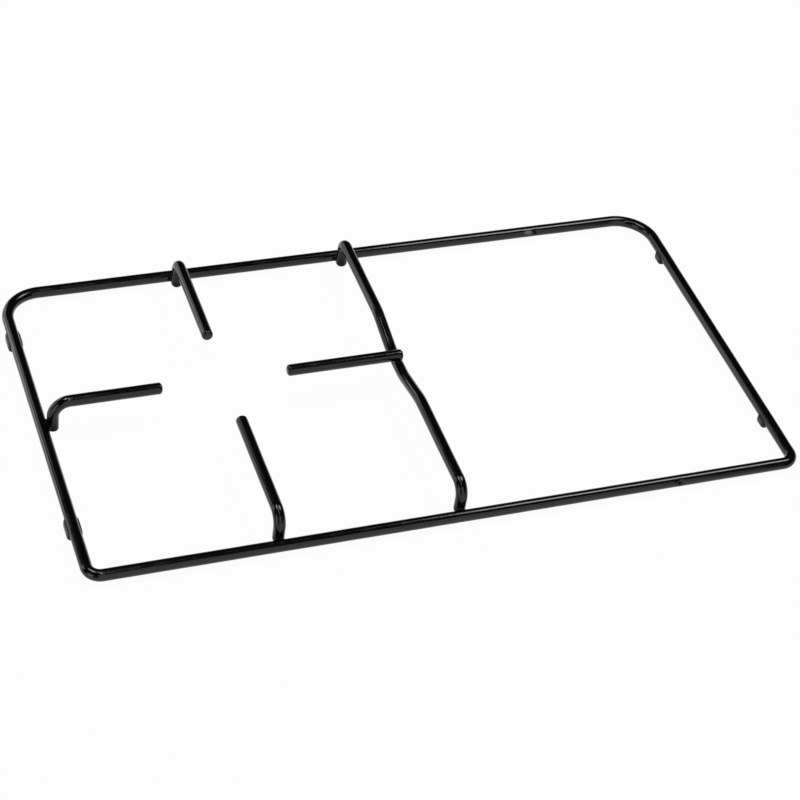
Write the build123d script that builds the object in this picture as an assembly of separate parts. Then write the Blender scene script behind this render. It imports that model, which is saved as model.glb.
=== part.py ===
from build123d import *
import os

# Hob pan support: a closed frame of bent round rod with raised rods welded inside it.
# Axes: +X to the right along the long side, +Y to the rear, +Z up, millimetres.
# The origin lies on the hob plate under the middle of the frame.

# Rod stock, and the depth one rod sinks into another where they are welded
ROD_DIAMETER = 7.5
WELD_SET = 0.5

# Frame, measured over the outside of the rod; corner radii at the rod's centre line
FRAME_LENGTH = 460.0
FRAME_DEPTH = 258.0
REAR_CORNER_RADIUS = 24.0
FRONT_CORNER_RADIUS = 8.0

# Butt seam between the two U bends that close the frame, measured from the axis of the right bar
SEAM_INSET = 82.0

# Raised rods: height of their axis over the axis of the frame, the bend over each leg,
# how far the legs reach below the axis of the frame, and the eased edge of the cut ends
SUPPORT_RISE = 17.0
REAR_BEND_RADIUS = 6.2
FRONT_BEND_RADIUS = 8.5
LEFT_BEND_RADIUS = 10.5
LEG_REACH = 3.0
LEFT_LEG_REACH = 3.75
TIP_CHAMFER = 1.4

# Burner circle that the four fingers point at
BURNER_X = -111.7
BURNER_Y = 3.0
TIP_GAP = 40.0
FRONT_TIP_GAP = 36.0

# Cross bar, and the dip in it that carries the inner finger
CROSS_X = 2.2
DIP_LENGTH = 84.0
DIP_FLAT = 22.0
DIP_BEND_RADIUS = 50.0
INNER_OVERHANG = 2.5

# Fillet welds: width at the axis of the welded rod and at the axis of the bar that carries it
WELD_TOP_WIDTH = 6.0
WELD_ROOT_WIDTH = 15.0
WELD_HEIGHT = 5.0

# Clip feet under the side bars, measured from the axis of the rear or front bar to the foot's middle
FOOT_INSET = 41.5
LEFT_FOOT_LENGTH = 12.5
RIGHT_FOOT_LENGTH = 7.5
FOOT_WIDTH = 9.6
FOOT_BASE = 2.0
FOOT_LIP = 1.0
FOOT_CORNER_RADIUS = 2.4

# Sizes that follow from those above
ROD_RADIUS = ROD_DIAMETER / 2
FRAME_Z = FOOT_BASE + ROD_RADIUS
TOP_Z = FRAME_Z + SUPPORT_RISE
SIDE_X = FRAME_LENGTH / 2 - ROD_RADIUS
END_Y = FRAME_DEPTH / 2 - ROD_RADIUS
SEAM_X = SIDE_X - SEAM_INSET
FOOT_Y = END_Y - FOOT_INSET
WELD_PITCH = ROD_DIAMETER - WELD_SET
DIP_Z = TOP_Z - WELD_PITCH
LEG_Y = END_Y - WELD_PITCH
LEFT_LEG_X = WELD_PITCH - SIDE_X
LEG_END_Z = FRAME_Z - LEG_REACH
LEFT_LEG_END_Z = FRAME_Z - LEFT_LEG_REACH


def rod(points, radii):
    """Round rod along straight runs joined by tangent arcs."""
    path = FilletPolyline(*points, radius=radii) if radii else Line(*points)
    section = Plane(origin=path @ 0, z_dir=path % 0) * Circle(ROD_RADIUS)
    return sweep(section, path=path)


def eased_tip(solid, point):
    """Breaks the edge of the rod's end face that lies round a point."""
    edge = solid.edges().filter_by(GeomType.CIRCLE).sort_by_distance(point)[0]
    return chamfer(edge, TIP_CHAMFER)


def weld(seat):
    """Fillet weld on both sides of a rod, widening from its axis along y to the axis of the bar."""
    top = WELD_TOP_WIDTH / 2
    root = WELD_ROOT_WIDTH / 2
    outline = Polyline((-top, 0), (top, 0), (root, WELD_PITCH), (-root, WELD_PITCH), close=True)
    return seat * extrude(make_face(outline), WELD_HEIGHT / 2, both=True)


def leg_weld(x, y, along):
    """Weld between a leg and the bar of the frame that runs along the given direction."""
    return weld(Plane(origin=(x, y, FRAME_Z), x_dir=along, z_dir=(0, 0, 1)))


def frame_rod(side):
    """U bend of the frame from the rear seam round one side bar to the front seam."""
    points = [
        (SEAM_X, END_Y, FRAME_Z),
        (side * SIDE_X, END_Y, FRAME_Z),
        (side * SIDE_X, -END_Y, FRAME_Z),
        (SEAM_X, -END_Y, FRAME_Z),
    ]
    return rod(points, [REAR_CORNER_RADIUS, FRONT_CORNER_RADIUS])


def end_finger(side, gap, bend):
    """Finger that rises inside the rear or the front bar and points at the burner."""
    tip = (BURNER_X, BURNER_Y + side * gap, TOP_Z)
    foot_end = (BURNER_X, side * LEG_Y, LEG_END_Z)
    points = [foot_end, (BURNER_X, side * LEG_Y, TOP_Z), tip]
    finger = eased_tip(eased_tip(rod(points, [bend]), tip), foot_end)
    return finger + leg_weld(BURNER_X, side * LEG_Y, (side, 0, 0))


def side_finger():
    """Finger that rises inside the left bar and points at the burner."""
    tip = (BURNER_X - TIP_GAP, BURNER_Y, TOP_Z)
    points = [
        (LEFT_LEG_X, BURNER_Y, LEFT_LEG_END_Z),
        (LEFT_LEG_X, BURNER_Y, TOP_Z),
        tip,
    ]
    finger = eased_tip(rod(points, [LEFT_BEND_RADIUS]), tip)
    return finger + leg_weld(LEFT_LEG_X, BURNER_Y, (0, 1, 0))


def raised_bar():
    """Cross bar with a leg at each end and a shallow dip under the inner finger."""
    rear_end = (CROSS_X, LEG_Y, LEG_END_Z)
    front_end = (CROSS_X, -LEG_Y, LEG_END_Z)
    points = [
        rear_end,
        (CROSS_X, LEG_Y, TOP_Z),
        (CROSS_X, BURNER_Y + DIP_LENGTH / 2, TOP_Z),
        (CROSS_X, BURNER_Y + DIP_FLAT / 2, DIP_Z),
        (CROSS_X, BURNER_Y - DIP_FLAT / 2, DIP_Z),
        (CROSS_X, BURNER_Y - DIP_LENGTH / 2, TOP_Z),
        (CROSS_X, -LEG_Y, TOP_Z),
        front_end,
    ]
    bar = rod(points, [REAR_BEND_RADIUS] + [DIP_BEND_RADIUS] * 4 + [FRONT_BEND_RADIUS])
    bar = eased_tip(eased_tip(bar, rear_end), front_end)
    rear = leg_weld(CROSS_X, LEG_Y, (1, 0, 0))
    front = leg_weld(CROSS_X, -LEG_Y, (-1, 0, 0))
    return bar + rear + front


def crossing_finger():
    """Straight finger lying across the dip, welded to the cross bar under it."""
    tip = (BURNER_X + TIP_GAP, BURNER_Y, TOP_Z)
    end = (CROSS_X + INNER_OVERHANG, BURNER_Y, TOP_Z)
    finger = eased_tip(rod([end, tip], []), tip)
    seat = Plane(origin=(CROSS_X, BURNER_Y, TOP_Z), x_dir=(0, 1, 0), z_dir=(-1, 0, 0))
    return finger + weld(seat)


def foot(x, y, length):
    """Rubber block with a groove that snaps over the lower half of a side bar."""
    height = FOOT_BASE + ROD_RADIUS + FOOT_LIP
    block = Box(FOOT_WIDTH, length, height, align=(Align.CENTER, Align.CENTER, Align.MIN))
    block = fillet(block.edges().filter_by(Axis.Z), FOOT_CORNER_RADIUS)
    return Pos(x, y, 0) * block


long_rod = frame_rod(-1)
short_rod = frame_rod(1)
cross = raised_bar()

pieces = {
    "frame_long_rod": long_rod,
    "frame_short_rod": short_rod,
    "cross_bar": cross - long_rod,
    "rear_finger": end_finger(1, TIP_GAP, REAR_BEND_RADIUS) - long_rod,
    "front_finger": end_finger(-1, FRONT_TIP_GAP, FRONT_BEND_RADIUS) - long_rod,
    "left_finger": side_finger() - long_rod,
    "inner_finger": crossing_finger() - cross,
    "foot_rear_left": foot(-SIDE_X, FOOT_Y, LEFT_FOOT_LENGTH) - long_rod,
    "foot_front_left": foot(-SIDE_X, -FOOT_Y, LEFT_FOOT_LENGTH) - long_rod,
    "foot_rear_right": foot(SIDE_X, FOOT_Y, RIGHT_FOOT_LENGTH) - short_rod,
    "foot_front_right": foot(SIDE_X, -FOOT_Y, RIGHT_FOOT_LENGTH) - short_rod,
}

os.makedirs("parts", exist_ok=True)
for name, piece in pieces.items():
    export_step(piece, f"parts/{name}.step")
    box = piece.bounding_box()
    print(name, len(piece.solids()), round(piece.volume, 1), box.min, box.max)
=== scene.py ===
"""Dressed model of an enamelled wire pan support for a gas hob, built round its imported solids.

The axes are x to the right, y to the rear and z up. The pieces' sizes are in millimetres; finishes,
lamps and the camera are in metres.
"""

import logging
import math
from dataclasses import dataclass, field
from enum import Enum

import bpy
import numpy as np
from mathutils import Matrix

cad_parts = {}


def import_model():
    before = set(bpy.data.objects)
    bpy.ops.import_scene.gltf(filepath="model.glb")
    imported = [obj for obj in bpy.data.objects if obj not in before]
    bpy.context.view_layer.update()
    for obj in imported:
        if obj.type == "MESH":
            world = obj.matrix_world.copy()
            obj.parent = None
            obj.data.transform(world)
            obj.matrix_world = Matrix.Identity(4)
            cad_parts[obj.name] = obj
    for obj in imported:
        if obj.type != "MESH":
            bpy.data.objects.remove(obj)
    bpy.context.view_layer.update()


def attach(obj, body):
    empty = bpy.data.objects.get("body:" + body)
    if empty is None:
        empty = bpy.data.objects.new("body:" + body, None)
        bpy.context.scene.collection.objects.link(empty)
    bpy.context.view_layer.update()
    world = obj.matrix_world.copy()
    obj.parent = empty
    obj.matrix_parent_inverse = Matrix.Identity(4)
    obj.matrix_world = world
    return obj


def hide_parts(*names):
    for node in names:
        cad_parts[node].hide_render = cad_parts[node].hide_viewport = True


LOG = logging.getLogger("pan_support")
MM = 0.001
FULL_TURN = 2.0 * math.pi
ROD_TOP = math.pi / 2.0  # angle round a rod that points along the normal of its route
PLAIN_SHINE = 0.5  # specular level of a clean, hard surface
Point = tuple[float, float, float]
TO_RIGHT: Point = (1.0, 0.0, 0.0)
TO_LEFT: Point = (-1.0, 0.0, 0.0)
TO_REAR: Point = (0.0, 1.0, 0.0)
TO_FRONT: Point = (0.0, -1.0, 0.0)
UPWARD: Point = (0.0, 0.0, 1.0)
DOWNWARD: Point = (0.0, 0.0, -1.0)


def rooted(value: np.ndarray) -> np.ndarray:
    """Square root of the size with the sign kept, which squares up a circle's cosine and sine."""
    return np.sign(value) * np.abs(value) ** 0.5


@dataclass
class Surface:
    """Points and faces of one or more closed surfaces, in millimetres.

    Attributes:
        points: array of points, one row each.
        quads: array of four point numbers a face.
        tris: array of three point numbers a face.
        weld: one number a point, 1 on weld metal, and rising to 1 towards a leg's end, where the
            duller coat is painted shade.
    """

    points: np.ndarray
    quads: np.ndarray
    tris: np.ndarray
    weld: np.ndarray

    @staticmethod
    def skin(count: int, around: int) -> tuple[np.ndarray, np.ndarray]:
        """Numbers the points of a stack of closed rings and joins each ring to the next one.

        Args:
            count: rings in the stack.
            around: points round a ring.

        Returns:
            Point numbers, one row a ring, and the four point numbers of each face.
        """
        number = np.arange(count * around).reshape(count, around)
        ahead = np.roll(number, -1, axis=1)
        quads = np.stack([number[:-1], ahead[:-1], ahead[1:], number[1:]], axis=-1)
        return number, quads.reshape(-1, 4)

    @staticmethod
    def capped(rings: np.ndarray, weld: np.ndarray) -> "Surface":
        """Skins a stack of rings and shuts both ends with a fan to the middle of the end ring.

        Args:
            rings: array of shape (stations, points round, 3); each ring turns left about the way
                along.
            weld: one number a station, 1 for weld metal; on a rod, painted shade towards a leg's
                end.

        Returns:
            The closed surface, its faces pointing outwards.
        """
        count, around = rings.shape[:2]
        number, quads = Surface.skin(count, around)
        first, last = count * around, count * around + 1
        start = np.stack([np.full(around, first), np.roll(number[0], -1), number[0]], axis=-1)
        end = np.stack([np.full(around, last), number[-1], np.roll(number[-1], -1)], axis=-1)
        poles = np.stack([rings[0].mean(axis=0), rings[-1].mean(axis=0)])
        points = np.concatenate([rings.reshape(-1, 3), poles])
        metal = np.concatenate([np.repeat(weld, around), weld[[0, -1]]])
        return Surface(points, quads, np.concatenate([start, end]), metal)

    @staticmethod
    def joined(parts: list["Surface"]) -> "Surface":
        """Puts several surfaces into one, renumbering their faces.

        Args:
            parts: the surfaces to gather.

        Returns:
            One surface that holds them all.
        """
        shift = np.cumsum([0] + [len(part.points) for part in parts[:-1]])
        return Surface(
            np.concatenate([part.points for part in parts]),
            np.concatenate([part.quads + s for part, s in zip(parts, shift)]),
            np.concatenate([part.tris + s for part, s in zip(parts, shift)]),
            np.concatenate([part.weld for part in parts]),
        )

    def to_object(self, name: str, material: bpy.types.Material) -> bpy.types.Object:
        """Makes a smooth-shaded object at the origin from the surface.

        Args:
            name: name of the piece.
            material: finish of the whole piece.

        Returns:
            The linked object, its mesh in metres.
        """
        mesh = bpy.data.meshes.new(name)
        mesh.from_pydata((self.points * MM).tolist(), [], self.quads.tolist() + self.tris.tolist())
        mesh.polygons.foreach_set("use_smooth", np.ones(len(mesh.polygons), dtype=bool))
        mesh.attributes.new("weld", "FLOAT", "POINT").data.foreach_set("value", self.weld)
        mesh.materials.append(material)
        mesh.update()
        piece = bpy.data.objects.new(name, mesh)
        bpy.context.scene.collection.objects.link(piece)
        return piece


class RodEnd(Enum):
    """How a rod's end is finished; the value is the rounding of its rim in millimetres."""

    TIP = 2.1
    LEG = 3.1
    CUT = 0.7
    SEAM = 0.03


@dataclass
class Stations:
    """Stations along a rod, from its first end to its last.

    Attributes:
        line: points of the centre line.
        tangent: unit tangents.
        run: distances from the first end.
        easing: how far the ring at each station is drawn in.
        rim_gap: least distance between the plain rod's last station and a rounded rim.
        rim_steps: stations in a rounded rim.
    """

    line: np.ndarray
    tangent: np.ndarray
    run: np.ndarray
    easing: np.ndarray
    rim_gap: float = 0.05
    rim_steps: int = 9

    def turned(self) -> "Stations":
        """The same stations counted from the other end."""
        run = self.run[-1] - self.run[::-1]
        return Stations(self.line[::-1], -self.tangent[::-1], run, self.easing[::-1])

    def rounded(self, end: RodEnd) -> "Stations":
        """Swaps the last stations for a quarter round of the rim.

        At angle a of a rim with radius r, a station lies r (1 - sin a) before the end, and its ring
        is drawn in by r (1 - cos a).

        Args:
            end: finish of the last end.

        Returns:
            The stations with the rounded end in place.
        """
        rim = end.value
        keep = self.run < self.run[-1] - rim - self.rim_gap
        a = np.linspace(0.0, math.pi / 2.0, self.rim_steps)
        back = rim * (1.0 - np.sin(a))
        last = self.tangent[-1]
        return Stations(
            np.concatenate([self.line[keep], self.line[-1] - back[:, None] * last]),
            np.concatenate([self.tangent[keep], np.repeat(last[None], len(a), axis=0)]),
            np.concatenate([self.run[keep], self.run[-1] - back]),
            np.concatenate([self.easing[keep], rim * (1.0 - np.cos(a))]),
        )


@dataclass
class RodPath:
    """Centre line of a bent rod: straight runs joined by tangent arcs, all in one plane.

    Attributes:
        points: corners of the route, ends included.
        radii: bend radius at each inner corner.
        normal: unit normal of the plane that the route lies in.
        step: spacing of stations on straight runs.
        turn: spacing of stations in bends, in radians.
        least_turns: fewest steps in a bend.
    """

    points: list[Point]
    radii: list[float]
    normal: Point
    step: float = 1.5
    turn: float = math.radians(3.0)
    least_turns: int = 2

    def stations(self) -> Stations:
        """Places stations along the route.

        An arc of radius R that leaves point A along d towards the inner side n runs
        A + R (sin a d + (1 - cos a) n), and its tangent is cos a d + sin a n.

        Returns:
            The stations, with no end rounded yet.
        """
        corners = np.array(self.points, dtype=float)
        runs = np.diff(corners, axis=0)
        ways = runs / np.linalg.norm(runs, axis=1, keepdims=True)
        angles = np.arccos(np.clip(np.sum(ways[:-1] * ways[1:], axis=1), -1.0, 1.0))
        trims = np.array(self.radii) * np.tan(angles / 2.0)
        bends = zip(ways, ways[1:], corners[1:], self.radii, angles, trims)
        stretches: list[tuple[np.ndarray, np.ndarray]] = []
        here = corners[0]
        for way, after, corner, radius, angle, trim in bends:
            begin = corner - way * trim
            stretches.append(self._straight(here, begin, way))
            inner = after - way * math.cos(angle)
            inner /= np.linalg.norm(inner)
            steps = max(int(angle / self.turn), self.least_turns)
            a = np.linspace(0.0, angle, steps + 1)[:-1, None]
            arc = begin + radius * (np.sin(a) * way + (1.0 - np.cos(a)) * inner)
            stretches.append((arc, np.cos(a) * way + np.sin(a) * inner))
            here = corner + after * trim
        stretches.append(self._straight(here, corners[-1], ways[-1]))
        stretches.append((corners[-1][None], ways[-1][None]))
        line = np.concatenate([places for places, _ in stretches])
        tangent = np.concatenate([tangents for _, tangents in stretches])
        gaps = np.linalg.norm(np.diff(line, axis=0), axis=1)
        run = np.concatenate([[0.0], np.cumsum(gaps)])
        return Stations(line, tangent, run, np.zeros(len(run)))

    def _straight(
        self, a: np.ndarray, b: np.ndarray, way: np.ndarray
    ) -> tuple[np.ndarray, np.ndarray]:
        """Spaces stations evenly over one straight run: the start plus a share of the run.

        Args:
            a: start of the run.
            b: end of the run, whose own station is left to the next stretch.
            way: unit vector along the run.

        Returns:
            Station points and their tangents.
        """
        length = float(np.linalg.norm(b - a))
        t = np.linspace(0.0, 1.0, max(int(length / self.step), 1) + 1)[:-1, None]
        return a + (b - a) * t, np.repeat(way[None], len(t), axis=0)


@dataclass(frozen=True)
class WeldLump:
    """One wave of unevenness round a weld.

    Attributes:
        waves: full waves round the joint.
        share: height as a share of the weld's half width.
        twist: how far the wave turns from the rod to the bar, in radians.
    """

    waves: int
    share: float
    twist: float = 0.0


WELD_LUMPS = (WeldLump(3, 0.05), WeldLump(5, 0.035, 2.0), WeldLump(9, 0.02))


@dataclass
class WeldNeck:
    """Weld metal under enamel that fills the groove between a rod and the bar that carries it.

    Attributes:
        rod_axis: point of the rod's axis level with the joint.
        along: unit vector along the bar.
        upright: unit vector along the rod.
        toward: unit vector from the rod to the bar.
        rod_radius: radius of both rods.
        pitch: distance between the two axes.
        rod_toe: half width and half height of the toe on the rod.
        bar_toe: half width and half height of the toe on the bar.
        flare: powers by which width and height change from the rod's toe to the bar's.
        lean: shift of the toe along the bar, for a weld laid from one side.
        swell: fullness of the weld between its toes, hollow where it is below 0.
        bury: how far both toes sink into the rods.
        shy: how far inside the rod's edge its round is still followed.
        seed: number that sets the unevenness.
        around: points round the joint.
        rows: rings from the rod to the bar.
    """

    rod_axis: Point
    along: Point
    upright: Point
    toward: Point
    rod_radius: float
    pitch: float
    rod_toe: tuple[float, float] = (3.3, 4.2)
    bar_toe: tuple[float, float] = (4.9, 3.0)
    flare: tuple[float, float] = (1.4, 0.7)
    lean: float = 0.0
    swell: float = -0.15
    bury: float = 0.25
    shy: float = 0.05
    seed: int = 1
    around: int = 48
    rows: int = 15

    def build(self) -> Surface:
        """Carries a line from toe to toe round the joint.

        With f round the joint and t from rod to bar, the loop is an ellipse that changes from the
        rod's toe to the bar's, swollen by sin(pi t) and uneven by a few sine waves of f, and its
        depth runs between the two round surfaces.

        Returns:
            The closed neck, its ends buried in the rod and the bar.
        """
        f = np.linspace(0.0, FULL_TURN, self.around + 1)[:-1][None, :]
        t = np.linspace(0.0, 1.0, self.rows)[:, None]
        phases = np.random.default_rng(self.seed).uniform(0.0, FULL_TURN, len(WELD_LUMPS))
        uneven = np.ones((self.rows, self.around))
        for lump, phase in zip(WELD_LUMPS, phases):
            uneven = uneven + lump.share * np.sin(lump.waves * f + phase + lump.twist * t)
        full = 1.0 + self.swell * np.sin(np.pi * t)
        toes = zip(self.rod_toe, self.bar_toe, self.flare)
        wide, high = ((rod + (bar - rod) * t**power) * full for rod, bar, power in toes)
        u = wide * np.cos(f) * uneven + self.lean * t
        w = high * np.sin(f) * uneven
        reach = self.rod_radius - self.shy
        rod_round = np.sqrt(self.rod_radius**2 - np.clip(u[:1], -reach, reach) ** 2)
        bar_round = np.sqrt(self.rod_radius**2 - np.clip(w[-1:], -reach, reach) ** 2)
        on_rod = rod_round - self.bury
        on_bar = self.pitch - bar_round + self.bury
        depth = on_rod + (on_bar - on_rod) * t
        axes = np.array([self.along, self.upright, self.toward], dtype=float)
        rings = np.array(self.rod_axis) + np.stack([u, w, depth], axis=-1) @ axes
        if np.dot(np.cross(axes[0], axes[1]), axes[2]) < 0.0:
            rings = rings[:, ::-1]
        return Surface.capped(rings, np.ones(len(rings)))


@dataclass(frozen=True)
class CoatWave:
    """One slow wave in the coat of a rod.

    Attributes:
        reach: distance along the rod in which the wave moves on by one radian.
        turns: full waves round the rod.
        share: height as a share of the coat's wave height.
    """

    reach: float
    turns: int
    share: float


COAT_WAVES = (
    CoatWave(9.0, 1, 1.0),
    CoatWave(5.3, 2, 0.8),
    CoatWave(3.1, 1, 0.5),
    CoatWave(23.0, 1, 0.9),
)
COAT_CREST = sum(wave.share for wave in COAT_WAVES)


@dataclass
class EnamelledRod:
    """One bent rod under a coat of enamel, with the welds that hold it.

    Attributes:
        name: name of the piece and of the solid that it stands for.
        path: centre line.
        radius: radius over the enamel.
        ends: finish of the first and the last end.
        seed: number that sets the unevenness of the coat.
        welds: weld necks on this rod.
        seam_sides: angle round the rod at which the first and the last seam are dented.
        seam_dent: depth of the dent that dressing the seam left.
        dent_fade: length along the rod and angle round it over which the dent fades.
        seam_swell: height of the upset metal beside the first seam's dent.
        swell_place: distance of the upset metal from the seam.
        swell_fade: length along the rod and angle round it over which the upset metal fades.
        coat_wave: height of the slow waves in the coat.
        drip: swelling of the coat where it ran to the end of a leg.
        drip_place: distance of the swelling from the end of the leg.
        drip_fade: length over which the swelling fades.
        leg_shade_reach: distance from a leg's end over which the coat is duller, as painted shade.
        around: points round the rod.
    """

    name: str
    path: RodPath
    radius: float
    ends: tuple[RodEnd, RodEnd]
    seed: int
    welds: list[WeldNeck] = field(default_factory=list)
    seam_sides: tuple[float, float] = (0.0, 0.0)
    seam_dent: float = 1.0
    dent_fade: tuple[float, float] = (1.1, 0.4)
    seam_swell: float = 0.0
    swell_place: float = 4.0
    swell_fade: tuple[float, float] = (2.0, 0.6)
    coat_wave: float = 0.022
    drip: float = 0.10
    drip_place: float = 1.2
    drip_fade: float = 1.3
    leg_shade_reach: float = 9.0
    around: int = 40

    def build(self) -> Surface:
        """Carries a circle along the path and rounds both ends.

        The radius is the rod's, less the highest wave of the coat, plus the coat's own height
        there, less the rounding of the ends.

        Returns:
            Rod and welds as one set of closed surfaces.
        """
        stations = self.path.stations()
        stations = stations.rounded(self.ends[1]).turned().rounded(self.ends[0]).turned()
        run, length = stations.run, stations.run[-1]
        f = np.linspace(0.0, FULL_TURN, self.around + 1)[:-1][None, :]
        coat = self._coat(run[:, None], f, length)
        radius = self.radius - COAT_CREST * self.coat_wave + coat - stations.easing[:, None]
        normal = np.array(self.path.normal)
        side = np.cross(normal[None], stations.tangent)
        spokes = np.cos(f)[..., None] * side[:, None] + np.sin(f)[..., None] * normal
        rings = stations.line[:, None] + radius[..., None] * spokes
        # The weld attribute of the rod is painted shade: a duller coat towards the legs' ends.
        rod = Surface.capped(rings, self._painted_leg_shade(run, length))
        return Surface.joined([rod] + [weld.build() for weld in self.welds])

    def _painted_leg_shade(self, run: np.ndarray, length: float) -> np.ndarray:
        """Painted shade towards a leg's end, a duller coat: a bell curve of the distance to that
        end.

        Args:
            run: distances along the rod.
            length: length of the rod.

        Returns:
            One number a station, 1 at a leg's end and 0 far from it.
        """
        leg_shade = np.zeros(len(run))
        for end, gap in zip(self.ends, (run, length - run)):
            if end in (RodEnd.LEG, RodEnd.CUT):
                leg_shade = np.maximum(leg_shade, np.exp(-((gap / self.leg_shade_reach) ** 2)))
        return leg_shade

    def _coat(self, s: np.ndarray, f: np.ndarray, length: float) -> np.ndarray:
        """Height of the coat's unevenness over the plain rod.

        Each slow wave is its share times sin(s / reach) times cos(turns f), both with a phase.
        Dent, upset metal and drip are bell curves of the distance to the end, and the first two
        also of the angle from the seam's dented side.

        Args:
            s: distances along the rod.
            f: angles round the rod.
            length: length of the rod.

        Returns:
            Array of heights, one a station and angle.
        """
        phases = np.random.default_rng(self.seed).uniform(0.0, FULL_TURN, (len(COAT_WAVES), 2))
        height = np.zeros((len(s), f.shape[1]))
        for wave, (start, turn) in zip(COAT_WAVES, phases):
            along = wave.share * np.sin(s / wave.reach + start)
            height = height + along * np.cos(wave.turns * f + turn)
        height = self.coat_wave * height
        swells = (self.seam_swell, 0.0)
        for end, gap, side, swell in zip(self.ends, (s, length - s), self.seam_sides, swells):
            if end is RodEnd.SEAM:
                off = np.abs((f - side + math.pi) % FULL_TURN - math.pi)
                dent = (gap / self.dent_fade[0]) ** 2 + (off / self.dent_fade[1]) ** 2
                height = height - self.seam_dent * np.exp(-dent)
                beside = (gap - self.swell_place) / self.swell_fade[0]
                upset = beside**2 + (off / self.swell_fade[1]) ** 2
                height = height + swell * np.exp(-upset)
            if end is RodEnd.LEG:
                run_down = (gap - self.drip_place) / self.drip_fade
                height = height + self.drip * np.exp(-(run_down**2))
        return height


@dataclass
class WireGrid:
    """The welded grid of rods: a closed frame, a raised cross bar and four fingers.

    Attributes:
        rod_diameter: diameter over the enamel.
        frame_length: length over the outside of the frame.
        frame_depth: depth over the outside of the frame.
        rear_corner: radius of the rear corners at the rod's centre line.
        front_corner: radius of the front corners at the rod's centre line.
        frame_height: height of the frame's axis over the hob plate.
        seam_x: place of the two seams along the rear and front bars.
        seam_turn: angle from the top of the rod down to the seams' dented sides, in degrees.
        seam_swell: height of the upset metal beside the rear seam, on the long rod.
        rise: height of the raised rods' axis over the frame's.
        rear_bend: radius of the bend over a rear leg.
        front_bend: radius of the bend over a front leg.
        left_bend: radius of the bend over the left leg.
        weld_set: how far one rod sinks into another where they are welded.
        weld_lean: shift of the rear and front legs' welds along the bar.
        left_weld_lean: shift of the left leg's weld along the bar.
        leg_reach: how far the rear and front legs reach below the frame's axis.
        left_leg_reach: how far the left leg reaches below the frame's axis.
        burner: middle of the burner that the fingers point at.
        tip_gap: distance from the burner's middle to a finger's tip.
        front_tip_gap: the same for the front finger.
        cross_x: place of the cross bar along the long side.
        dip_length: length of the dip in the cross bar.
        dip_flat: length of the dip's flat bottom.
        dip_bend: radius of the dip's four bends.
        inner_overhang: how far the inner finger reaches past the cross bar's axis.
        inner_rod_toe: half width and half height of its weld's toe on the finger.
        inner_bar_toe: half width and half height of its weld's toe on the cross bar.
    """

    rod_diameter: float = 7.5
    frame_length: float = 460.0
    frame_depth: float = 258.0
    rear_corner: float = 24.0
    front_corner: float = 8.0
    frame_height: float = 5.75
    seam_x: float = 144.25
    seam_turn: float = 71.0
    seam_swell: float = 0.35
    rise: float = 17.0
    rear_bend: float = 6.2
    front_bend: float = 8.5
    left_bend: float = 10.5
    weld_set: float = 0.5
    weld_lean: float = -1.3
    left_weld_lean: float = 0.4
    leg_reach: float = 3.0
    left_leg_reach: float = 3.75
    burner: tuple[float, float] = (-111.7, 3.0)
    tip_gap: float = 40.0
    front_tip_gap: float = 36.0
    cross_x: float = 2.2
    dip_length: float = 84.0
    dip_flat: float = 22.0
    dip_bend: float = 50.0
    inner_overhang: float = 2.5
    inner_rod_toe: tuple[float, float] = (3.2, 2.6)
    inner_bar_toe: tuple[float, float] = (4.6, 3.1)

    @property
    def radius(self) -> float:
        """Radius of the rod."""
        return self.rod_diameter / 2.0

    @property
    def side_x(self) -> float:
        """Distance of the side bars' axes from the middle."""
        return self.frame_length / 2.0 - self.radius

    @property
    def end_y(self) -> float:
        """Distance of the rear and front bars' axes from the middle."""
        return self.frame_depth / 2.0 - self.radius

    @property
    def pitch(self) -> float:
        """Distance between the axes of two rods welded together."""
        return self.rod_diameter - self.weld_set

    @property
    def top(self) -> float:
        """Height of the axis of the raised rods."""
        return self.frame_height + self.rise

    @property
    def leg_end(self) -> float:
        """Height of the cut ends of the rear and front legs."""
        return self.frame_height - self.leg_reach

    def rods(self) -> list[EnamelledRod]:
        """Lists every rod of the grid with its welds.

        Returns:
            The rods, the frame's first.
        """
        return [
            self._frame_rod("frame_long_rod", -1.0, seed=11),
            self._frame_rod("frame_short_rod", 1.0, seed=12),
            self._cross_bar(),
            self._end_finger("rear_finger", 1.0, self.tip_gap, self.rear_bend, seed=14),
            self._end_finger("front_finger", -1.0, self.front_tip_gap, self.front_bend, seed=15),
            self._left_finger(),
            self._inner_finger(),
        ]

    def _frame_rod(self, name: str, side: float, seed: int) -> EnamelledRod:
        """U bend of the frame from the rear seam round one side bar to the front seam.

        Args:
            name: name of the rod.
            side: -1 for the left bar, 1 for the right one.
            seed: number that sets the unevenness of the coat.

        Returns:
            The rod, with both seams dented on the side that faces the front.
        """
        z = self.frame_height
        corners = [
            (self.seam_x, self.end_y, z),
            (side * self.side_x, self.end_y, z),
            (side * self.side_x, -self.end_y, z),
            (self.seam_x, -self.end_y, z),
        ]
        path = RodPath(corners, [self.rear_corner, self.front_corner], UPWARD)
        turn = side * math.radians(self.seam_turn)
        swell = self.seam_swell if side < 0.0 else 0.0
        return EnamelledRod(
            name,
            path,
            self.radius,
            (RodEnd.SEAM, RodEnd.SEAM),
            seed,
            seam_sides=(ROD_TOP + turn, ROD_TOP - turn),
            seam_swell=swell,
        )

    def _leg_weld(
        self, place: tuple[float, float], along: Point, toward: Point, lean: float, seed: int
    ) -> WeldNeck:
        """Weld between an upright leg and the frame bar beside it.

        Args:
            place: the leg's axis, seen from above.
            along: unit vector along the bar.
            toward: unit vector from the leg to the bar.
            lean: shift of the weld along the bar.
            seed: number that sets the unevenness.

        Returns:
            The weld, level with the frame's axis.
        """
        axis = (*place, self.frame_height)
        return WeldNeck(
            axis, along, UPWARD, toward, self.radius, self.pitch, lean=lean, seed=seed
        )

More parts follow.
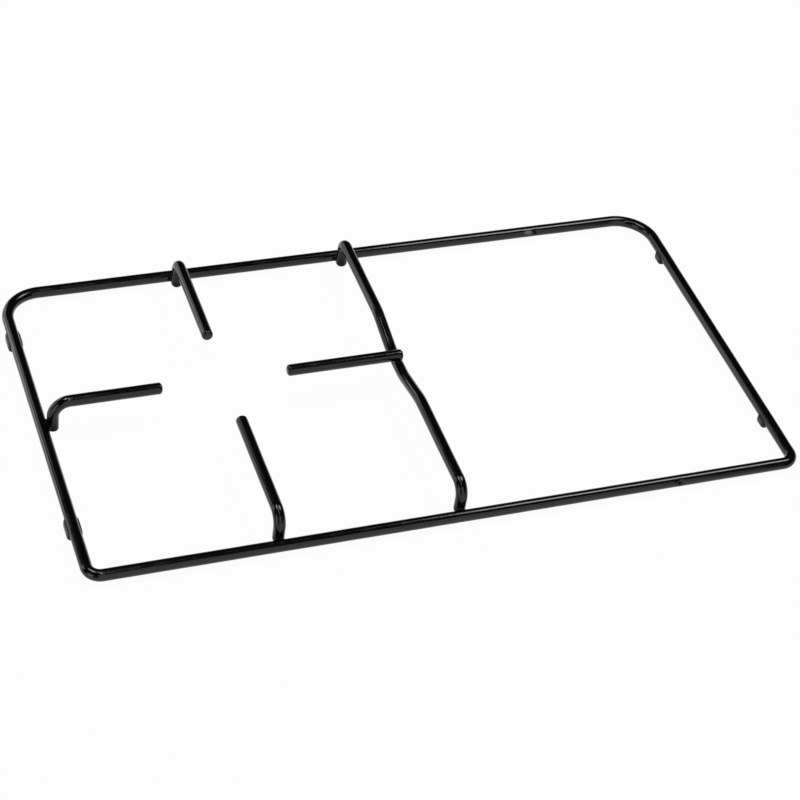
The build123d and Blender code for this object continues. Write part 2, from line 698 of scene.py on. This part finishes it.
    def _end_finger(
        self, name: str, side: float, gap: float, bend: float, seed: int
    ) -> EnamelledRod:
        """Finger that rises inside the rear or the front bar.

        Args:
            name: name of the finger.
            side: 1 for the rear bar, -1 for the front one.
            gap: distance from the burner's middle to the tip.
            bend: radius of the bend over the leg.
            seed: number that sets the unevenness of coat and weld.

        Returns:
            The finger with its weld.
        """
        x, y = self.burner
        leg = side * (self.end_y - self.pitch)
        corners = [(x, leg, self.leg_end), (x, leg, self.top), (x, y + side * gap, self.top)]
        path = RodPath(corners, [bend], TO_RIGHT)
        weld = self._leg_weld((x, leg), TO_RIGHT, (0.0, side, 0.0), self.weld_lean, seed)
        return EnamelledRod(name, path, self.radius, (RodEnd.LEG, RodEnd.TIP), seed, [weld])

    def _left_finger(self) -> EnamelledRod:
        """Finger that rises inside the left bar.

        Returns:
            The finger with its weld.
        """
        x, y = self.burner
        leg = self.pitch - self.side_x
        low = self.frame_height - self.left_leg_reach
        corners = [(leg, y, low), (leg, y, self.top), (x - self.tip_gap, y, self.top)]
        path = RodPath(corners, [self.left_bend], TO_REAR)
        weld = self._leg_weld((leg, y), TO_REAR, TO_LEFT, self.left_weld_lean, seed=16)
        ends = (RodEnd.CUT, RodEnd.TIP)
        return EnamelledRod("left_finger", path, self.radius, ends, 16, [weld])

    def _cross_bar(self) -> EnamelledRod:
        """Raised bar over the middle with a leg at each end and a dip under the inner finger.

        Returns:
            The bar with the welds of its two legs.
        """
        x, y = self.cross_x, self.burner[1]
        leg = self.end_y - self.pitch
        low = self.top - self.pitch
        corners = [
            (x, leg, self.leg_end),
            (x, leg, self.top),
            (x, y + self.dip_length / 2.0, self.top),
            (x, y + self.dip_flat / 2.0, low),
            (x, y - self.dip_flat / 2.0, low),
            (x, y - self.dip_length / 2.0, self.top),
            (x, -leg, self.top),
            (x, -leg, self.leg_end),
        ]
        bends = [self.rear_bend] + [self.dip_bend] * 4 + [self.front_bend]
        path = RodPath(corners, bends, TO_RIGHT)
        welds = [
            self._leg_weld((x, leg), TO_RIGHT, TO_REAR, self.weld_lean, seed=17),
            self._leg_weld((x, -leg), TO_RIGHT, TO_FRONT, self.weld_lean, seed=18),
        ]
        ends = (RodEnd.LEG, RodEnd.LEG)
        return EnamelledRod("cross_bar", path, self.radius, ends, 13, welds)

    def _inner_finger(self) -> EnamelledRod:
        """Straight finger lying in the dip of the cross bar.

        Returns:
            The finger with the weld under it.
        """
        x, y = self.burner
        end = (self.cross_x + self.inner_overhang, y, self.top)
        path = RodPath([end, (x + self.tip_gap, y, self.top)], [], UPWARD)
        weld = WeldNeck(
            (self.cross_x, y, self.top),
            along=TO_REAR,
            upright=TO_RIGHT,
            toward=DOWNWARD,
            rod_radius=self.radius,
            pitch=self.pitch,
            rod_toe=self.inner_rod_toe,
            bar_toe=self.inner_bar_toe,
            seed=19,
        )
        ends = (RodEnd.TIP, RodEnd.TIP)
        return EnamelledRod("inner_finger", path, self.radius, ends, 20, [weld])


@dataclass
class ClipFoot:
    """Rubber foot whose groove snaps over the lower half of a side bar.

    Attributes:
        name: name of the piece and of the solid that it stands for.
        centre: point of the bar's axis over the middle of the foot.
        length: length along the bar.
        rod_radius: radius of the groove.
        width: width across the bar.
        base: thickness under the bar.
        lip: height of the lips over the bar's axis.
        lip_angle: angle at which the outside of a lip ends, in degrees.
        end_width: width of the end faces.
        bulge_power: power of the distance from the middle by which the width falls off.
        end_pinch: share by which the outside is drawn to the groove at the end faces.
        pinch_power: power of the distance from the middle by which that share grows.
        stations: sections along the foot.
        section_points: points on the outside of a section, and as many in its groove.
    """

    name: str
    centre: Point
    length: float
    rod_radius: float
    width: float = 9.6
    base: float = 2.0
    lip: float = 1.0
    lip_angle: float = 58.0
    end_width: float = 8.3
    bulge_power: int = 5
    end_pinch: float = 0.12
    pinch_power: int = 14
    stations: int = 25
    section_points: int = 65

    def build(self) -> Surface:
        """Carries a U-shaped section along the bar and draws it in towards both ends.

        The outside is a squared oval, the square roots of cosine and sine with their signs, and the
        inside an arc of the bar's radius; outside and inside points pair up, so that drawing the
        first towards the second rounds the end rims.

        Returns:
            The closed foot.
        """
        half = self.length / 2.0
        y = half * np.sin(np.linspace(-math.pi / 2.0, math.pi / 2.0, self.stations))
        bulge = np.clip(1.0 - np.abs(y / half) ** self.bulge_power, 0.0, 1.0) ** 0.5
        wide = (self.end_width + (self.width - self.end_width) * bulge) / 2.0
        pinch = self.end_pinch * (np.abs(y) / half) ** self.pinch_power
        low = -(self.rod_radius + self.base)
        mid, tall = (self.lip + low) / 2.0, (self.lip - low) / 2.0
        lip_angle = math.radians(self.lip_angle)
        q = np.linspace(lip_angle, -math.pi - lip_angle, self.section_points)
        outer_x = wide[:, None] * rooted(np.cos(q))[None]
        outer_z = np.repeat((mid + tall * rooted(np.sin(q)))[None], len(y), axis=0)
        open_angle = math.asin(self.lip / self.rod_radius)
        g = np.linspace(open_angle, -math.pi - open_angle, self.section_points)
        inner_x = np.repeat((self.rod_radius * np.cos(g))[None], len(y), axis=0)
        inner_z = np.repeat((self.rod_radius * np.sin(g))[None], len(y), axis=0)
        outer_x = outer_x + pinch[:, None] * (inner_x - outer_x)
        outer_z = outer_z + pinch[:, None] * (inner_z - outer_z)
        x = np.concatenate([outer_x, inner_x[:, ::-1]], axis=1)
        z = np.concatenate([outer_z, inner_z[:, ::-1]], axis=1)
        along = np.repeat(y[:, None], x.shape[1], axis=1)
        return self._closed(np.stack([x, along, z], axis=-1) + np.array(self.centre))

    def _closed(self, rings: np.ndarray) -> Surface:
        """Skins the section and shuts each end with a strip between its outside and its inside.

        Args:
            rings: array of shape (stations, points round, 3), outside points first, inside points
                back.

        Returns:
            The closed surface, its faces pointing outwards.
        """
        number, sides = Surface.skin(*rings.shape[:2])
        strips = []
        for ring, flip in ((number[0], True), (number[-1], False)):
            outer = ring[: self.section_points]
            inner = ring[self.section_points :][::-1]
            strip = np.stack([outer[:-1], outer[1:], inner[1:], inner[:-1]], axis=-1)
            strips.append(strip[:, ::-1] if flip else strip)
        quads = np.concatenate([sides] + strips)
        points = rings.reshape(-1, 3)
        return Surface(points, quads, np.zeros((0, 3), dtype=int), np.zeros(len(points)))


@dataclass
class ClipFeet:
    """The four clip feet under the side bars.

    Attributes:
        inset: distance from the axis of the rear or front bar to the middle of a foot.
        left_length: length of the feet under the left bar.
        right_length: length of the feet under the right bar.
    """

    inset: float = 41.5
    left_length: float = 12.5
    right_length: float = 7.5

    def feet(self, grid: WireGrid) -> list[ClipFoot]:
        """Lists the feet, each on the bar that it grips.

        Args:
            grid: the grid that stands on the feet.

        Returns:
            The rear feet, then the front ones, each left before right.
        """
        far = grid.end_y - self.inset
        ends = (("rear", far), ("front", -far))
        sides = (
            ("left", -grid.side_x, self.left_length),
            ("right", grid.side_x, self.right_length),
        )
        return [
            ClipFoot(f"foot_{end}_{side}", (x, y, grid.frame_height), length, grid.radius)
            for end, y in ends
            for side, x, length in sides
        ]


class FinishNodes:
    """Node material of one finish, with the few kinds of node that the finishes are made of.

    Attributes:
        material: the material.
        shader: its surface shader.
    """

    def __init__(self, name: str) -> None:
        """Starts the material with its shader and its texture coordinates.

        Args:
            name: name of the material.
        """
        self.material = bpy.data.materials.new(name)
        self.material.use_nodes = True
        self._nodes = self.material.node_tree.nodes
        self._link = self.material.node_tree.links.new
        self.shader = self._nodes["Principled BSDF"]
        self._place = self._nodes.new("ShaderNodeTexCoord")

    def feed(self, source: bpy.types.NodeSocket, socket: str) -> None:
        """Links a value to the named socket of the shader."""
        self._link(source, self.shader.inputs[socket])

    def noise(self, pattern: tuple[float, float]) -> bpy.types.NodeSocket:
        """Adds noise in the piece's own coordinates.

        Args:
            pattern: lumps a metre, and layers of finer lumps over them.

        Returns:
            Socket that carries the noise, from 0 to 1.
        """
        node = self._nodes.new("ShaderNodeTexNoise")
        node.inputs["Scale"].default_value, node.inputs["Detail"].default_value = pattern
        self._link(self._place.outputs["Object"], node.inputs["Vector"])
        return node.outputs["Fac"]

    def attribute(self, name: str) -> bpy.types.NodeSocket:
        """Reads a number that the mesh carries at each point.

        Args:
            name: name of the attribute.

        Returns:
            Socket that carries the number.
        """
        node = self._nodes.new("ShaderNodeAttribute")
        node.attribute_name = name
        return node.outputs["Fac"]

    def ranged(
        self,
        value: bpy.types.NodeSocket,
        ends: tuple[float, float],
        span: tuple[float, float] = (0.0, 1.0),
        smooth: bool = False,
    ) -> bpy.types.NodeSocket:
        """Spreads a value over a new range, held at its ends.

        Args:
            value: socket of the value.
            ends: results at the start and the end of the span.
            span: values that the range starts and ends at.
            smooth: whether the result eases in and out.

        Returns:
            Socket that carries the result.
        """
        node = self._nodes.new("ShaderNodeMapRange")
        if smooth:
            node.interpolation_type = "SMOOTHSTEP"
        node.inputs["From Min"].default_value, node.inputs["From Max"].default_value = span
        node.inputs["To Min"].default_value, node.inputs["To Max"].default_value = ends
        self._link(value, node.inputs["Value"])
        return node.outputs["Result"]

    def blended(
        self, share: bpy.types.NodeSocket, under: Point | bpy.types.NodeSocket, over: Point
    ) -> bpy.types.NodeSocket:
        """Blends one colour over another.

        Args:
            share: socket of the upper colour's share.
            under: lower colour, or the socket that carries it.
            over: upper colour.

        Returns:
            Socket that carries the colour.
        """
        node = self._nodes.new("ShaderNodeMix")
        node.data_type = "RGBA"
        if isinstance(under, bpy.types.NodeSocket):
            self._link(under, node.inputs["A"])
        else:
            node.inputs["A"].default_value = (*under, 1.0)
        node.inputs["B"].default_value = (*over, 1.0)
        self._link(share, node.inputs["Factor"])
        return node.outputs["Result"]

    def lower(
        self, first: bpy.types.NodeSocket, second: bpy.types.NodeSocket
    ) -> bpy.types.NodeSocket:
        """Takes the lower one of two values.

        Args:
            first: socket of one value.
            second: socket of the other value.

        Returns:
            Socket that carries the lower value.
        """
        node = self._nodes.new("ShaderNodeMath")
        node.operation = "MINIMUM"
        self._link(first, node.inputs[0])
        self._link(second, node.inputs[1])
        return node.outputs[0]

    def spot(
        self, middle: Point, sizes: Point, core: float, ends: tuple[float, float]
    ) -> bpy.types.NodeSocket:
        """Soft spot on the surface, from its distance to a point in units of the spot's size.

        Args:
            middle: middle of the spot.
            sizes: radius of the spot along each axis.
            core: share of the radius inside which the value is still the middle's.
            ends: value in the middle and outside.

        Returns:
            Socket that carries the value.
        """
        apart = self._nodes.new("ShaderNodeVectorMath")
        apart.operation = "SUBTRACT"
        apart.inputs[1].default_value = middle
        self._link(self._place.outputs["Object"], apart.inputs[0])
        share = self._nodes.new("ShaderNodeVectorMath")
        share.operation = "DIVIDE"
        share.inputs[1].default_value = sizes
        self._link(apart.outputs["Vector"], share.inputs[0])
        far = self._nodes.new("ShaderNodeVectorMath")
        far.operation = "LENGTH"
        self._link(share.outputs["Vector"], far.inputs[0])
        return self.ranged(far.outputs["Value"], ends, (core, 1.0), smooth=True)

    def relief(self, height: bpy.types.NodeSocket, depth: float) -> None:
        """Gives the shader a fine relief.

        Args:
            height: socket of the relief's height, from 0 to 1.
            depth: height of the relief in metres.
        """
        node = self._nodes.new("ShaderNodeBump")
        node.inputs["Strength"].default_value = 1.0
        node.inputs["Distance"].default_value = depth
        self._link(height, node.inputs["Height"])
        self.feed(node.outputs["Normal"], "Normal")


@dataclass(frozen=True)
class GlossEnamel:
    """Black vitreous enamel: a deep gloss with slight orange peel, with painted shade at the seams
    and the legs' ends and a painted highlight beside the rear seam.

    Attributes:
        deep: colour of the thick coat.
        thin: colour where the coat is thin.
        flow: noise of the coat's thickness: lumps a metre and finer layers.
        gloss: lowest and highest roughness.
        haze: noise of the roughness: lumps a metre and finer layers.
        haze_span: noise levels at which the roughness is lowest and highest.
        index: refractive index of the glass coat.
        peel: noise of the orange peel: lumps a metre and finer layers.
        peel_depth: height of the orange peel in metres.
        pit_shade_spots: middles of the dull spots in the seams' dents, painted shade that darkens
            the pits.
        pit_shade_sizes: radius of a spot of painted shade along each axis.
        pit_shade_shine: specular level in the middle of a spot of painted shade.
        painted_glint: middle of the pale spot beside the rear seam, a painted highlight on the
            upset metal.
        painted_glint_sizes: radius of the painted highlight along each axis.
        painted_glint_colour: colour of the painted highlight.
        spot_core: share of a spot's radius that it fills evenly.
        weld_and_leg_shade_shine: specular level of the scaly coat on the welds, and of the duller
            coat that paints shade at the legs' ends.
    """

    deep: Point = (0.0006, 0.0006, 0.0007)
    thin: Point = (0.0020, 0.0019, 0.0019)
    flow: tuple[float, float] = (38.0, 3.0)
    gloss: tuple[float, float] = (0.10, 0.20)
    haze: tuple[float, float] = (95.0, 4.0)
    haze_span: tuple[float, float] = (0.3, 0.7)
    index: float = 1.42
    peel: tuple[float, float] = (420.0, 1.0)
    peel_depth: float = 0.000012
    pit_shade_spots: tuple[Point, Point] = ((0.1444, 0.1219, 0.0070), (0.1444, -0.1287, 0.0068))
    pit_shade_sizes: Point = (0.0020, 0.0022, 0.0022)
    pit_shade_shine: float = 0.05
    painted_glint: Point = (0.1395, 0.1219, 0.0077)
    painted_glint_sizes: Point = (0.0042, 0.0019, 0.0019)
    painted_glint_colour: Point = (0.13, 0.13, 0.13)
    spot_core: float = 0.3
    weld_and_leg_shade_shine: float = 0.12

    def material(self) -> bpy.types.Material:
        """Builds the node material of the enamel.

        Returns:
            The material, which reads the mesh's weld attribute.
        """
        made = FinishNodes("black_enamel")
        made.shader.inputs["IOR"].default_value = self.index
        coat = made.blended(made.noise(self.flow), self.deep, self.thin)
        # Painted highlight: a pale spot of base colour beside the rear seam.
        painted_glint_share = made.spot(self.painted_glint, self.painted_glint_sizes, self.spot_core, (1.0, 0.0))
        made.feed(made.blended(painted_glint_share, coat, self.painted_glint_colour), "Base Color")
        # Painted shade: the specular level drops in spots in the seams' dents, which darkens them.
        pit_shading = (self.pit_shade_shine, PLAIN_SHINE)
        rear, front = (
            made.spot(pit_spot, self.pit_shade_sizes, self.spot_core, pit_shading) for pit_spot in self.pit_shade_spots
        )
        # The weld attribute dulls the coat on the welds, and towards the legs' ends as painted
        # shade.
        weld_and_leg_shade = made.ranged(made.attribute("weld"), (PLAIN_SHINE, self.weld_and_leg_shade_shine))
        made.feed(made.lower(made.lower(rear, front), weld_and_leg_shade), "Specular IOR Level")
        rough = made.ranged(made.noise(self.haze), self.gloss, self.haze_span)
        made.feed(rough, "Roughness")
        made.relief(made.noise(self.peel), self.peel_depth)
        return made.material


@dataclass(frozen=True)
class MouldedRubber:
    """Black moulded rubber: satin, with a fine mould texture.

    Attributes:
        dark: darker colour of the rubber.
        light: lighter colour of the rubber.
        bloom: noise of colour and roughness: lumps a metre and finer layers.
        satin: lowest and highest roughness.
        shine: specular level of the skin.
        grain: noise of the mould texture: lumps a metre and finer layers.
        grain_depth: height of the mould texture in metres.
    """

    dark: Point = (0.003, 0.003, 0.003)
    light: Point = (0.007, 0.007, 0.007)
    bloom: tuple[float, float] = (140.0, 4.0)
    satin: tuple[float, float] = (0.24, 0.38)
    shine: float = 0.28
    grain: tuple[float, float] = (1600.0, 2.0)
    grain_depth: float = 0.000015

    def material(self) -> bpy.types.Material:
        """Builds the node material of the rubber.

        Returns:
            The material.
        """
        made = FinishNodes("black_rubber")
        made.shader.inputs["Specular IOR Level"].default_value = self.shine
        bloom = made.noise(self.bloom)
        made.feed(made.blended(bloom, self.dark, self.light), "Base Color")
        made.feed(made.ranged(bloom, self.satin), "Roughness")
        made.relief(made.noise(self.grain), self.grain_depth)
        return made.material


@dataclass(frozen=True)
class WhiteTable:
    """White table top: plain white in part, the rest lit so that shadows stay, under a polish.

    Attributes:
        glow: share that shows as plain white, to the eye and in reflections alike.
        lit_grey: level of the lit rest.
        index: refractive index of the polish.
        polish: roughness of the polish.
    """

    glow: float = 0.955
    lit_grey: float = 0.6
    index: float = 1.45
    polish: float = 0.12

    def material(self) -> bpy.types.Material:
        """Builds the node material of the table top.

        Returns:
            The material.
        """
        made = bpy.data.materials.new("white_table")
        made.use_nodes = True
        nodes, link = made.node_tree.nodes, made.node_tree.links.new
        nodes.clear()
        out = nodes.new("ShaderNodeOutputMaterial")
        lit = nodes.new("ShaderNodeBsdfDiffuse")
        lit.inputs["Color"].default_value = (self.lit_grey, self.lit_grey, self.lit_grey, 1.0)
        white = nodes.new("ShaderNodeEmission")
        white.inputs["Strength"].default_value = 1.0
        rays = nodes.new("ShaderNodeLightPath")
        shown = rays.outputs["Is Camera Ray"]
        for kind in ("Is Transmission Ray", "Is Glossy Ray"):
            either = nodes.new("ShaderNodeMath")
            either.operation = "MAXIMUM"
            link(shown, either.inputs[0])
            link(rays.outputs[kind], either.inputs[1])
            shown = either.outputs[0]
        share = nodes.new("ShaderNodeMath")
        share.operation = "MULTIPLY"
        share.inputs[1].default_value = self.glow
        link(shown, share.inputs[0])
        ground = nodes.new("ShaderNodeMixShader")
        link(share.outputs[0], ground.inputs["Fac"])
        link(lit.outputs[0], ground.inputs[1])
        link(white.outputs[0], ground.inputs[2])
        graze = nodes.new("ShaderNodeFresnel")
        graze.inputs["IOR"].default_value = self.index
        sheen = nodes.new("ShaderNodeBsdfGlossy")
        sheen.inputs["Roughness"].default_value = self.polish
        polish = nodes.new("ShaderNodeMixShader")
        link(graze.outputs[0], polish.inputs["Fac"])
        link(sheen.outputs[0], polish.inputs[2])
        both = nodes.new("ShaderNodeAddShader")
        link(ground.outputs[0], both.inputs[0])
        link(polish.outputs[0], both.inputs[1])
        link(both.outputs[0], out.inputs["Surface"])
        return made


@dataclass(frozen=True)
class Softbox:
    """One rectangular studio lamp.

    Attributes:
        name: name of the lamp.
        place: position in metres.
        aim: point that it faces.
        size: width and height in metres.
        power: power in watts.
        mirrored: whether glossy surfaces show the lamp.
    """

    name: str
    place: Point
    aim: Point
    size: tuple[float, float]
    power: float
    mirrored: bool = True

    def build(self) -> None:
        """Makes the lamp and turns it to its aim."""
        lamp = bpy.data.lights.new(self.name, "AREA")
        lamp.shape = "RECTANGLE"
        lamp.size, lamp.size_y = self.size
        lamp.energy = self.power
        holder = bpy.data.objects.new(self.name, lamp)
        back = np.array(self.place) - np.array(self.aim)
        back = back / np.linalg.norm(back)
        across = np.cross(TO_REAR, back)
        across = across / np.linalg.norm(across)
        turn = np.eye(4)
        turn[:3, 0], turn[:3, 1], turn[:3, 2] = across, np.cross(back, across), back
        turn[:3, 3] = self.place
        holder.matrix_world = Matrix(turn.tolist())
        holder.visible_glossy = self.mirrored
        bpy.context.scene.collection.objects.link(holder)


LAMPS = (
    Softbox("key_softbox", (0.78, 0.15, 1.30), (0.78, 0.15, 0.0), (0.66, 0.54), 10.5),
    Softbox("top_strip", (-0.13, -0.28, 1.30), (-0.13, -0.28, 0.0), (0.18, 1.25), 3.2),
    Softbox("front_panel", (0.20, -2.22, 0.90), (0.2, 0.0, 0.05), (2.2, 2.2), 16.5),
    Softbox("corner_lamp", (-0.46, 0.26, 1.30), (-0.46, 0.26, 0.0), (0.28, 0.50), 5.0),
    Softbox("left_strip", (-1.176, 1.052, 0.10), (0.0, 0.0, 0.05), (0.2, 0.36), 0.85),
    Softbox("left_panel", (-0.90, 1.39, 0.33), (0.0, 0.0, 0.1), (0.28, 0.90), 1.6),
    Softbox("left_window", (-0.87, 1.43, 0.72), (0.0, 0.0, 0.1), (0.52, 0.80), 2.3),
    Softbox("left_return", (-1.25, 0.50, 0.40), (0.0, 0.05, 0.02), (0.8, 0.45), 2.2),
    Softbox("side_panel", (-1.60, -0.85, 0.45), (0.0, -0.1, 0.1), (0.9, 0.9), 5.1),
    Softbox("back_wash", (-1.00, 0.90, 1.20), (0.0, 0.0, 0.0), (0.8, 0.8), 1.2, mirrored=False),
)


@dataclass
class Studio:
    """White table, soft lamps and the camera of the photograph.

    Attributes:
        lens: focal length in millimetres.
        sensor: width of the camera's sensor in millimetres.
        eye: camera position.
        right: image's right in the model's frame.
        up: image's up in the model's frame.
        back: direction from the scene to the camera.
        table_size: side of the table top.
        table_drop: how far the table top lies below the feet.
        surround: level of the dim room round the table.
        lamps: lamps round the table.
    """

    lens: float = 102.61
    sensor: float = 36.0
    eye: Point = (-0.44625, -0.98791, 0.97247)
    right: Point = (0.94126, -0.31804, 0.11351)
    up: Point = (0.13741, 0.66776, 0.73158)
    back: Point = (-0.30847, -0.67301, 0.67224)
    table_size: float = 24.0
    table_drop: float = 0.0002
    surround: float = 0.03
    lamps: tuple[Softbox, ...] = LAMPS

    def build(self) -> None:
        """Sets the table, the room, the lamps and the camera."""
        self._table()
        self._room()
        for lamp in self.lamps:
            lamp.build()
        self._camera()
        bpy.context.scene.view_settings.view_transform = "Standard"

    def _table(self) -> None:
        """One flat square under the feet."""
        half, low = self.table_size / 2.0, -self.table_drop
        corners = [(-half, -half, low), (half, -half, low), (half, half, low), (-half, half, low)]
        mesh = bpy.data.meshes.new("table_top")
        mesh.from_pydata(corners, [], [(0, 1, 2, 3)])
        mesh.materials.append(WhiteTable().material())
        top = bpy.data.objects.new("table_top", mesh)
        bpy.context.scene.collection.objects.link(top)

    def _room(self) -> None:
        """Dim even surround over the table."""
        world = bpy.data.worlds.new("dim_room")
        world.use_nodes = True
        bpy.context.scene.world = world
        shade = world.node_tree.nodes["Background"]
        shade.inputs["Color"].default_value = (self.surround, self.surround, self.surround, 1.0)
        shade.inputs["Strength"].default_value = 1.0

    def _camera(self) -> None:
        """Camera at the photograph's place, turned and rolled as it was."""
        data = bpy.data.cameras.new("photo_camera")
        data.sensor_width = self.sensor
        data.lens = self.lens
        camera = bpy.data.objects.new("photo_camera", data)
        pose = np.eye(4)
        pose[:3, 0], pose[:3, 1], pose[:3, 2] = self.right, self.up, self.back
        pose[:3, 3] = self.eye
        camera.matrix_world = Matrix(pose.tolist())
        bpy.context.scene.collection.objects.link(camera)
        bpy.context.scene.camera = camera


def place_piece(piece: bpy.types.Object, node: str) -> None:
    """Lets a piece stand for its solid: hangs it under the root body and hides the solid.

    Args:
        piece: the dressed piece.
        node: name of the solid.
    """
    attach(piece, "root")
    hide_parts(node)
    LOG.info("%s: %d faces", piece.name, len(piece.data.polygons))


def main() -> None:
    """Builds the grid, the feet and the studio."""
    logging.basicConfig(level=logging.INFO, format="%(name)s %(message)s")
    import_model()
    grid = WireGrid()
    enamel = GlossEnamel().material()
    for rod in grid.rods():
        place_piece(rod.build().to_object("dressed_" + rod.name, enamel), rod.name)
    rubber = MouldedRubber().material()
    for foot in ClipFeet().feet(grid):
        place_piece(foot.build().to_object("dressed_" + foot.name, rubber), foot.name)
    Studio().build()


if __name__ == "__main__":
    main()
